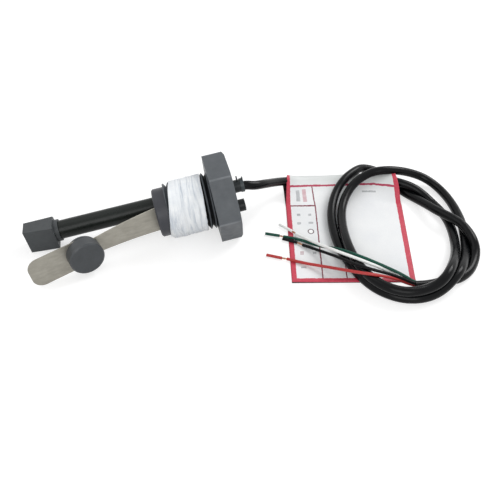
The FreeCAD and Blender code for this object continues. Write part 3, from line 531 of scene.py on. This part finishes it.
# Bare strands: six twisted round a straight one, in millimetres and radians
STRANDS_ROUND = 6
STRAND_R = 0.085
STRAND_RING = 0.19
STRAND_TWIST = 1.9
STRAND_BULGE = 0.5
STRAND_SIDES = 6
STRAND_ROWS = 15


def strand_bundle(colour):
    """Thin strands in place of the plain rod between insulation and slug."""
    points = np.array([tuple(v.co) for v in nodes[f"strands_{colour}"].data.vertices])
    middle = points.mean(0)
    axes = np.linalg.svd(points - middle, full_matrices=False)[2]
    reach = (points - middle) @ axes[0]

    def across(angle):
        return math.cos(angle) * axes[1] + math.sin(angle) * axes[2]

    verts, faces = [], []
    for strand in range(STRANDS_ROUND + 1):
        first = len(verts)
        ring = 0.0 if strand == STRANDS_ROUND else STRAND_RING * MM
        for i in range(STRAND_ROWS):
            t = i / (STRAND_ROWS - 1)
            twist = TURN * strand / STRANDS_ROUND + STRAND_TWIST * t
            bulge = 1 + STRAND_BULGE * math.sin(math.pi * t) * rng.uniform(0.6, 1.0)
            centre = middle + axes[0] * (reach.min() + (reach.max() - reach.min()) * t)
            centre = centre + ring * bulge * across(twist)
            verts += [centre + STRAND_R * MM * across(TURN * k / STRAND_SIDES) for k in range(STRAND_SIDES)]
        tube = grid_faces(STRAND_ROWS, STRAND_SIDES, wrap=True)
        faces += [tuple(first + n for n in face) for face in tube]
    obj = piece(f"bare_{colour}", verts, faces, copper)
    clean_mesh(obj)
    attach(obj, "switch")
    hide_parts(f"strands_{colour}")
    return obj


strands = {colour: strand_bundle(colour) for colour in WIRES}

# Folded card: the line of its fold round the cable, the foot of its slope and its front edge
FOLD_LINE = [
    (61.6, 18.0, 6.05), (66.5, 19.9, 4.25), (71.0, 20.6, 3.3), (79.0, 20.0, 2.5), (90.5, 18.0, 3.0),
    (99.2, 14.2, 4.5), (103.3, 12.8, 5.5), (107.1, 11.6, 6.3),
]
FOOT = [(59.35, 8.75), (105.6, -1.0)]
FRONT = [(49.6, -34.8), (92.2, -44.1)]
CARD_THICK = 0.14
CARD_COLUMNS = 81
# How far the card reaches past its print on the left, as a share of its width
SIDE = 0.0144
LOWER_Z, UPPER_Z = 0.1, 0.29
# Room between the fold and the cable, and how much wider it gets at the left end
FOLD_GAP, FOLD_WIDER, FOLD_WIDER_TO = 0.16, 0.6, 0.13
FOLD_FLAT = 1.02
FOLD_SMOOTHING = (-0.04, -0.02, 0, 0.02, 0.04)
# The lower layer's shift to one side at the left end
TUCK, TUCK_TO, TUCK_STEPS = 1.5, 0.08, 5
RIPPLE, RIPPLE_WAVES = 0.06, 9.0
CURL, CURL_FROM = 0.35, 0.93
# Handles of the slope's curve, which the card's loose right end carries further out
HANDLE_NEAR, HANDLE_NEAR_SHARE, HANDLE_FAR_SHARE = 2.6, 0.25, 0.62
LOOSE_FROM, LOOSE_NEAR, LOOSE_FAR = 0.8, 5.4, 2
# Steps of each part of the section, and the step of the fold where the printed side starts
UNDER_STEPS, RISE_STEPS, FOLD_STEPS, SLOPE_STEPS, FLAT_STEPS = 12, 8, 13, 16, 32
FOLD_OUTSIDE = 9


def along(points, share):
    """A point on a chain of points at a share of its length."""
    pts = np.array(points, float)
    steps = np.concatenate([[0], np.cumsum(np.linalg.norm(np.diff(pts, axis=0), axis=1))])
    return np.array([np.interp(share * steps[-1], steps, pts[:, k]) for k in range(pts.shape[1])])


def card_line(u):
    """The card's section at a share of its width: lower layer, fold, slope and flat part."""
    lead = sum(along(FOLD_LINE, clamp(u + k)) for k in FOLD_SMOOTHING) / len(FOLD_SMOOTHING)
    foot = np.array(FOOT[0]) * (1 - u) + np.array(FOOT[1]) * u
    front = np.array(FRONT[0]) * (1 - u) + np.array(FRONT[1]) * u
    run = np.linalg.norm(foot - lead[:2])
    ahead = (foot - lead[:2]) / run
    aside = np.array((ahead[1], -ahead[0]))
    tuck = TUCK * max(0.0, 1 - u / TUCK_TO)
    r = CABLE_D / 2 + FOLD_GAP + FOLD_WIDER * max(0.0, 1 - u / FOLD_WIDER_TO)
    line = []

    def add(reach, z, v, shift=0.0):
        x, y = lead[:2] + ahead * reach + aside * shift
        line.append((x, y, z, v))

    def add_flat(w, z, v):
        x, y = foot * (1 - w) + front * w
        line.append((x, y, z, v))

    for k in range(UNDER_STEPS + 1):
        add_flat(1 - k / UNDER_STEPS, LOWER_Z, UNDER_V)
    for k in range(1, RISE_STEPS + 1):
        t = k / RISE_STEPS
        add(run * (1 - t), LOWER_Z + max(0.0, lead[2] - r - LOWER_Z) * eased(t), UNDER_V, tuck * t)
    for k in range(1, FOLD_STEPS + 1):
        a = math.pi * (1.5 - k / FOLD_STEPS)
        v = UNDER_V if k < FOLD_OUTSIDE else 0.0
        add(r * math.cos(a) * FOLD_FLAT, lead[2] + r * math.sin(a), v, tuck * max(0.0, 1 - k / TUCK_STEPS))
    ripple = RIPPLE * math.sin(u * RIPPLE_WAVES)
    loose = max(0.0, (u - LOOSE_FROM) / (1 - LOOSE_FROM))
    near = min(HANDLE_NEAR, run * HANDLE_NEAR_SHARE) + LOOSE_NEAR * loose
    far = run * HANDLE_FAR_SHARE + LOOSE_FAR * loose
    for k in range(1, SLOPE_STEPS + 1):
        t = k / SLOPE_STEPS
        weights = ((1 - t) ** 3, 3 * t * (1 - t) ** 2, 3 * t * t * (1 - t), t ** 3)
        reach = weights[1] * near + weights[2] * far + weights[3] * run
        z = (weights[0] + weights[1]) * (lead[2] + r) + (weights[2] + weights[3]) * UPPER_Z
        add(reach, z + ripple * math.sin(math.pi * t), SLOPE * t)
    for k in range(1, FLAT_STEPS + 1):
        w = k / FLAT_STEPS
        curl = CURL * max(0, (w - CURL_FROM) / (1 - CURL_FROM)) ** 2 * (1 - u) ** 2
        add_flat(w, UPPER_Z + curl, SLOPE + (1 - SLOPE) * w)
    return line


def card():
    shares = [i / (CARD_COLUMNS - 1) for i in range(CARD_COLUMNS)]
    lines = [card_line(u) for u in shares]
    verts = [Vector(p[:3]) * MM for line in lines for p in line]
    uvs = [(u * (1 + SIDE) - SIDE, p[3]) for u, line in zip(shares, lines) for p in line]
    obj = piece("folded_card", verts, grid_faces(CARD_COLUMNS, len(lines[0])), printed_card())
    layer = obj.data.uv_layers.new(name="card")
    for loop in obj.data.loops:
        layer.data[loop.index].uv = uvs[loop.vertex_index]
    solidify(obj, CARD_THICK, 0)
    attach(obj, "switch")
    return obj


folded_card = card()
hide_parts("cable_tag")

# Plug: the CAD head and nose, with the turns of the thread cut as real grooves, in millimetres
PITCH = 1.814
THREAD_LEN = 16.6
CREST = 21.3
TAPER = 16
START = 0.35
GROOVE_DEEP = 1.42
GROOVE_SHARE = 0.88
RUN_OUT, RUN_OUT_REST = 0.8, 0.25
# Depth in millimetres past which the grooves get no painted shade
DARK_TO = 12
THREAD_AROUND, THREAD_PER_TURN = 120, 16
TURNS_BEFORE, TURNS_MORE = 1.5, 3
THREAD_WELD = 2e-6
HEAD_WELD = 1e-7
CONE_ENDS, CONE_SKIN = 0.02, 0.03
NOSE_FROM = THREAD_LEN - 0.1


def crest(depth):
    """The radius of the thread's crests at a depth from the head."""
    return (CREST - depth / TAPER) / 2


def plug_head():
    """A copy of the CAD plug without the plain cone that the thread takes the place of."""
    mesh = nodes["plug_body"].data.copy()
    mesh.name = "plug_head"
    bm = bmesh.new()
    bm.from_mesh(mesh)
    bmesh.ops.remove_doubles(bm, verts=bm.verts, dist=HEAD_WELD)

    def on_cone(vert):
        p = LIE_INV @ vert.co
        depth, r = -p.x / MM, math.hypot(p.y, p.z) / MM
        return -CONE_ENDS < depth < THREAD_LEN + CONE_ENDS and abs(r - crest(depth)) < CONE_SKIN

    gone = [face for face in bm.faces if all(on_cone(v) for v in face.verts)]
    bmesh.ops.delete(bm, geom=gone, context="FACES")
    bm.to_mesh(mesh)
    bm.free()
    mesh.materials.clear()
    for material in (grey_pvc, nose_pvc):
        mesh.materials.append(material)
    for face in mesh.polygons:
        depth = min(-(LIE_INV @ mesh.vertices[v].co).x / MM for v in face.vertices)
        face.material_index = 1 if depth > NOSE_FROM else 0
    obj = bpy.data.objects.new("plug_head", mesh)
    scene.collection.objects.link(obj)
    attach(obj, "switch")
    return obj


def groove(phase):
    """Share of the groove's depth at a share of the pitch: a flat crest, then a V."""
    return max(0.0, 1 - abs((phase % 1.0) - 0.5) * 2 / GROOVE_SHARE)


def plug_thread():
    rows = (int(THREAD_LEN / PITCH) + TURNS_MORE) * THREAD_PER_TURN
    verts, groove_shade = [], []
    for i in range(rows + 1):
        for j in range(THREAD_AROUND + 1):
            a = TURN * j / THREAD_AROUND
            depth = PITCH * (i / THREAD_PER_TURN - TURNS_BEFORE + j / THREAD_AROUND) - START
            depth = clamp(depth, 0.0, THREAD_LEN)
            cut = groove((depth + START) / PITCH - j / THREAD_AROUND)
            fade = min(1.0, (THREAD_LEN - depth) / RUN_OUT + RUN_OUT_REST)
            r = crest(depth) - cut * GROOVE_DEEP * fade
            verts.append(on_switch(-depth, r * math.cos(a), r * math.sin(a)))
            # The groove's share of depth is kept as the mask of painted shade
            groove_shade.append(cut if depth < DARK_TO else 0.0)
    obj = piece("plug_thread", verts, grid_faces(rows + 1, THREAD_AROUND + 1), thread_pvc)
    obj.data.attributes.new("groove", "FLOAT", "POINT").data.foreach_set("value", groove_shade)
    clean_mesh(obj, weld=THREAD_WELD)
    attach(obj, "switch")
    return obj


head = plug_head()
bevel(head, 0.3, segments=3, angle=25)
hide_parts("plug_body")
plug_thread()

# Sealing tape: slanted wraps that sag over the thread, with ruffled rims and small folds, in millimetres
TAPE_START = 3.9
TAPE_WIDE = 12.1
TAPE_THICK = 0.12
TAPE_AROUND, TAPE_ROWS = 200, 120
# The side that is uppermost in the photograph, and how far each rim slants there
TAPE_UPPER = math.radians(50)
SLANT_FIRST, SLANT_LAST = 0.75, 1.9
RUFFLE, RUFFLE_SHARE, FRAY = 0.12, 0.6, 0.15
DRAWN_TURN = 6.28
TAPE_BELOW, TAPE_LIFT, TAPE_SAG, RIM_TUCK = 0.26, 0.34, 0.06, 0.22
CREASE_WIDE, CREASE_LONG, CREASE_LIFT = 0.2, 0.5, 0.16
# Long slanted folds near the nose: angle, place across the tape, size and lean
LONG_FOLDS = [(3.35, 10.4, 2.4, -2.0), (3.55, 9.2, 2.2, -2.1), (3.75, 7.8, 1.8, -2.0)]
# Rims of single wraps: step and place across the tape
WRAP_RIMS = ((0.12, 2.6), (0.12, 5.4), (0.11, 8.0), (0.1, 10.2))
RIM_SOFT, RIM_BACK = 0.05, 0.35
# The tape's end comes down from the thread onto the nose
DOWN_BEFORE, DOWN_LONG, DOWN_BY = 0.2, 1.3, 0.85
WRAP_SHIFT = 1.3


def tape():
    waves = [(rng.integers(2, 9), rng.uniform(0, DRAWN_TURN), rng.uniform(0.4, 1.0)) for _ in range(7)]
    creases = []
    for _ in range(60):
        angle, where = rng.uniform(0, DRAWN_TURN), rng.uniform(0, TAPE_WIDE)
        creases.append((angle, where, rng.uniform(0.5, 1.0), rng.uniform(-2.0, 2.0)))
    creases += LONG_FOLDS
    verts, tape_shade = [], []
    for i in range(TAPE_ROWS):
        t = i / (TAPE_ROWS - 1)
        for j in range(TAPE_AROUND):
            a = TURN * j / TAPE_AROUND
            edge = sum(RUFFLE * k * math.sin(n * a + p) for n, p, k in waves) / 2
            upper = math.cos(a - TAPE_UPPER)
            frayed = FRAY * max(0.0, -upper) * math.sin(19 * a) * math.sin(4 * a + 1.0)
            first = TAPE_START + edge * RUFFLE_SHARE + frayed - SLANT_FIRST * (1 + upper)
            last = TAPE_START + TAPE_WIDE + edge * RUFFLE_SHARE - SLANT_LAST * upper
            depth = first + (last - first) * t
            ridge = 0.5 + 0.5 * math.cos(TURN * ((depth + START) / PITCH - j / TAPE_AROUND))
            lift = TAPE_LIFT + TAPE_SAG * ridge
            # fold gathers painted shade: first in the troughs between the thread's ridges
            fold = 0.1 * (1 - ridge) ** 2
            for angle, where, size, lean in creases:
                da = (a - angle + math.pi) % TURN - math.pi
                off = (depth - TAPE_START - where) - lean * da
                crease = size * math.exp(-(off / CREASE_WIDE) ** 2) * math.exp(-(da / CREASE_LONG) ** 2)
                lift += CREASE_LIFT * crease
                # Painted shade on one side of each crease
                fold += 0.5 * crease * clamp(off / CREASE_WIDE)
            for step, at in WRAP_RIMS:
                rim = at + 0.9 * math.sin(a + 1.9) + 0.25 * math.sin(3 * a + at)
                rise = 1 / (1 + math.exp(-((depth - TAPE_START) - rim) / RIM_SOFT))
                lift += step * (rise - RIM_BACK * t)
                # Painted shade along the step of each wrap's rim
                fold += 0.9 * rise * (1 - rise)
            past = clamp((depth - THREAD_LEN + DOWN_BEFORE) / DOWN_LONG)
            r = crest(clamp(depth, 0.0, THREAD_LEN)) - TAPE_BELOW + lift - DOWN_BY * eased(past)
            r -= RIM_TUCK if i in (0, TAPE_ROWS - 1) else 0
            verts.append(on_switch(-depth, r * math.cos(a), r * math.sin(a)))
            tape_shade.append(clamp(fold))
    obj = piece("wound_tape", verts, grid_faces(TAPE_ROWS, TAPE_AROUND, wrap=True), white_tape)
    # The fold attribute carries the painted shade to the tape's material
    obj.data.attributes.new("fold", "FLOAT", "POINT").data.foreach_set("value", tape_shade)
    clean_mesh(obj)
    layer = obj.data.uv_layers.new(name="wrap")
    for face in obj.data.polygons:
        columns = [v % TAPE_AROUND for v in face.vertices]
        seam = max(columns) - min(columns) > 1
        for index in face.loop_indices:
            i, j = divmod(obj.data.loops[index].vertex_index, TAPE_AROUND)
            j += TAPE_AROUND if seam and j == 0 else 0
            across = TAPE_WIDE * i / (TAPE_ROWS - 1) + WRAP_SHIFT * j / TAPE_AROUND
            layer.data[index].uv = (across, TURN * j / TAPE_AROUND)
    solidify(obj, TAPE_THICK, -1)
    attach(obj, "switch")
    return obj


wound_tape = tape()
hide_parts("thread_tape")

# Spring leaf, in the blade's frame, bending between the nose and the capsule, in millimetres
BLADE_DEGREES, ROOT_DEGREES = 19, 9.8
BLADE_ANGLE = math.radians(BLADE_DEGREES)
BLADE_TURN = BLADE_ANGLE + math.pi
BLADE_HOLD = (-21, -3.9)
BEND = math.radians(BLADE_DEGREES - ROOT_DEGREES)
LEAF_R = 137.0
LEAF_LIFT = 0.35
LEAF_FLAT = -7.0
LEAF_TIP = 5.8
LEAF_ROOT_X = LEAF_FLAT - LEAF_R * math.sin(BEND)
LEAF_ROOT_Y = LEAF_R * (1 - math.cos(BEND))
LEAF_IN_NOSE = 6
LEAF_WIDE_ROOT, LEAF_WIDE_TIP = 10.5, 5.1
LEAF_HALF_THICK = 0.15
LEAF_LIP, LEAF_SIDE = 0.1, 0.4
LEAF_BEND_STEPS, LEAF_FLAT_STEPS = 40, 14


def on_blade(x, y, z):
    c, s = math.cos(BLADE_ANGLE), math.sin(BLADE_ANGLE)
    start_x = BLADE_HOLD[0] + c * LEAF_ROOT_X - s * LEAF_ROOT_Y
    start_y = BLADE_HOLD[1] + s * LEAF_ROOT_X + c * LEAF_ROOT_Y
    turned_x = math.cos(BLADE_TURN) * x - math.sin(BLADE_TURN) * y
    turned_y = math.sin(BLADE_TURN) * x + math.cos(BLADE_TURN) * y
    return on_switch(turned_x + start_x, turned_y + start_y, z + LEAF_LIFT)


def on_bend(slope):
    """The leaf's middle line where it has a slope."""
    return LEAF_FLAT - LEAF_R * math.sin(slope), LEAF_R * (1 - math.cos(slope))


def leaf_section(half):
    """Twelve points round the leaf: place across it, and share of half its thickness."""
    lip = half - LEAF_LIP
    lower = [(-half, -LEAF_SIDE), (-lip, -1), (-half / 2, -1), (0, -1), (half / 2, -1), (lip, -1)]
    upper = [(half, -LEAF_SIDE), (half, LEAF_SIDE), (lip, 1), (0, 1), (-lip, 1), (-half, LEAF_SIDE)]
    return lower + upper


def leaf():
    stations = []
    for back in range(LEAF_IN_NOSE, -1, -1):
        stations.append((LEAF_ROOT_X - back * math.cos(BEND), LEAF_ROOT_Y + back * math.sin(BEND), BEND))
    for k in range(1, LEAF_BEND_STEPS + 1):
        slope = BEND * (1 - k / LEAF_BEND_STEPS)
        stations.append((*on_bend(slope), slope))
    for k in range(1, LEAF_FLAT_STEPS + 1):
        stations.append((LEAF_FLAT + (LEAF_TIP - LEAF_FLAT) * k / LEAF_FLAT_STEPS, 0.0, 0.0))
    verts = []
    for x, y, slope in stations:
        share = clamp((x - LEAF_ROOT_X) / (LEAF_TIP - LEAF_ROOT_X))
        section = leaf_section((LEAF_WIDE_ROOT + (LEAF_WIDE_TIP - LEAF_WIDE_ROOT) * share) / 2)
        for z, side in section:
            off = side * LEAF_HALF_THICK
            verts.append(on_blade(x + off * math.sin(slope), y + off * math.cos(slope), z))
    rows, ring = len(stations), len(section)
    faces = grid_faces(rows, ring, wrap=True)
    faces.append(tuple(range(ring)))
    faces.append(tuple(reversed(range((rows - 1) * ring, rows * ring))))
    obj = piece("bent_leaf", verts, faces, stainless, smooth=False)
    clean_mesh(obj)
    obj.data.set_sharp_from_angle(angle=math.radians(35))
    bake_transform(obj)
    return obj


bent_leaf = leaf()
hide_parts("spring_leaf")

# Softened edges of the other pieces, in millimetres
EDGES = {
    "stop_block": 0.3, "gland_body": 0.15, "gland_cap": 0.15, "filler_screw": 0.18, "magnet_cup": 0.15,
    "paddle": 0.08, "capsule_back": 0.12, "stem_tube": 0.1,
}
for name, width in EDGES.items():
    bevel(nodes[name], width)

# Floor, background and light: sizes in metres, lamps in watts
FLOOR_SIZE = 6
FLOOR_DARK, FLOOR_PALE, FLOOR_GLOW = 0.52, 0.54, 0.6
WORLD_LIGHT, WORLD_SEEN = 0.52, 1.0
WHITE = (1, 1, 1, 1)
LIT_POINT = Vector((0.06, -0.01, 0.0))


def seen_directly(tree):
    """One for camera, glossy and transmission rays, else zero."""
    path = tree.nodes.new("ShaderNodeLightPath")
    total = path.outputs["Is Camera Ray"]
    for ray in ("Is Glossy Ray", "Is Transmission Ray"):
        n = tree.nodes.new("ShaderNodeMath")
        n.operation = "MAXIMUM"
        tree.links.new(total, n.inputs[0])
        tree.links.new(path.outputs[ray], n.inputs[1])
        total = n.outputs[0]
    return total


def softbox(name, place, size, watts):
    data = bpy.data.lights.new(name, "AREA")
    data.shape = "RECTANGLE"
    data.size, data.size_y = size
    data.energy = watts
    obj = bpy.data.objects.new(name, data)
    obj.location = place
    obj.rotation_euler = (LIT_POINT - Vector(place)).to_track_quat("-Z", "Y").to_euler()
    scene.collection.objects.link(obj)
    return obj


floor_look = Shader("floor")
floor_cloud = floor_look.spread(floor_look.noise(8, 2), 0, 1)
floor_look.feed("Base Color", floor_look.mix(floor_cloud, [FLOOR_DARK] * 3, [FLOOR_PALE] * 3))
floor_look.set("Roughness", 0.9)
floor_look.set("Specular IOR Level", 0.1)
floor_look.set("Emission Color", WHITE)
floor_glow = floor_look.math("MULTIPLY", seen_directly(floor_look.tree), FLOOR_GLOW)
floor_look.feed("Emission Strength", floor_glow)
bpy.ops.mesh.primitive_plane_add(size=FLOOR_SIZE, location=(0, 0, 0))
floor = bpy.context.object
floor.name = "floor"
floor.data.materials.append(floor_look.mat)

world = bpy.data.worlds.new("studio")
scene.world = world
world.use_nodes = True
sky = world.node_tree
back = sky.nodes["Background"]
back.inputs["Color"].default_value = WHITE
level = sky.nodes.new("ShaderNodeMapRange")
level.inputs["To Min"].default_value = WORLD_LIGHT
level.inputs["To Max"].default_value = WORLD_SEEN
sky.links.new(seen_directly(sky), level.inputs["Value"])
sky.links.new(level.outputs["Result"], back.inputs["Strength"])

key = softbox("key", (0.52, 0.22, 0.5), (0.35, 0.35), 2.6)
fill = softbox("fill", (-0.4, 0.15, 0.55), (0.5, 0.5), 0.6)
front = softbox("front", (-0.1, -0.6, 0.35), (0.6, 0.5), 2.2)

scene.view_settings.view_transform = "Standard"
